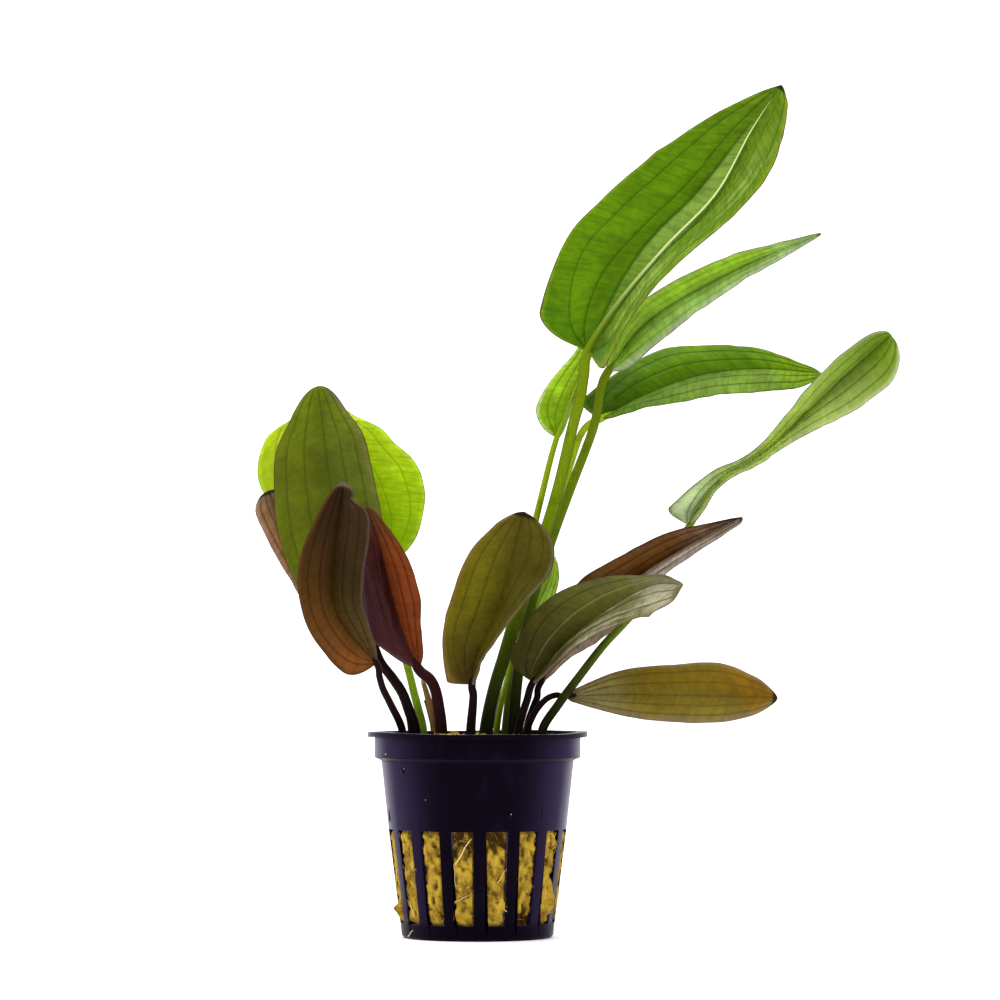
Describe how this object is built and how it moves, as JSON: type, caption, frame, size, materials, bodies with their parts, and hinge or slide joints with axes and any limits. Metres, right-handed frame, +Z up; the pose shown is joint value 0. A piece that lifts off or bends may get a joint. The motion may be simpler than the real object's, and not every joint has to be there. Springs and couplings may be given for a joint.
{
  "type": "potted echinodorus",
  "caption": "Aquarium sword plant in a slotted black plastic pot filled with rock wool, with tall green leaves and low olive, red-brown and amber leaves on long stems.",
  "frame": {"origin": "centre of the flat underside of the pot, on the surface that it stands on", "axes": "+Z up, -Y towards the viewer who sees the plant as it was pictured, +X to that viewer's right"},
  "size_m": [0.1635, 0.0594, 0.2107],
  "materials": {
    "pot_plastic": "satin",
    "rock_wool": "matte",
    "green": "satin",
    "yellow_green": "satin",
    "olive": "satin",
    "olive_brown": "satin",
    "grey_brown": "satin",
    "dark_brown": "satin",
    "orange_brown": "satin",
    "red_brown": "satin",
    "amber": "satin",
    "green_stem": "satin",
    "dark_stem": "satin",
    "dry_leaf": "matte"
  },
  "bodies": {
    "root": {"pot": "pot_plastic", "rock_wool": "rock_wool", "tall_leaf_1": "green", "tall_stem_1": "green_stem", "tall_leaf_2": "green", "tall_stem_2": "green_stem", "tall_leaf_3": "green", "tall_stem_3": "green_stem", "tall_leaf_4": "green", "tall_stem_4": "green_stem", "spoon_leaf": "green", "spoon_stem": "green_stem", "round_leaf": "yellow_green", "round_stem": "green_stem", "big_olive_leaf": "olive", "big_olive_stem": "dark_stem", "grey_leaf": "grey_brown", "grey_stem": "dark_stem", "dark_leaf": "dark_brown", "dark_stem": "dark_stem", "orange_leaf": "orange_brown", "orange_stem": "dark_stem", "centre_leaf": "olive_brown", "centre_stem": "dark_stem", "young_leaf": "yellow_green", "young_stem": "green_stem", "right_leaf": "olive", "right_stem": "dark_stem", "red_leaf": "red_brown", "red_stem": "dark_stem", "amber_leaf": "amber", "amber_stem": "dark_stem", "dry_stub": "dark_stem", "dry_sheath": "dry_leaf"}
  },
  "joints": []
}
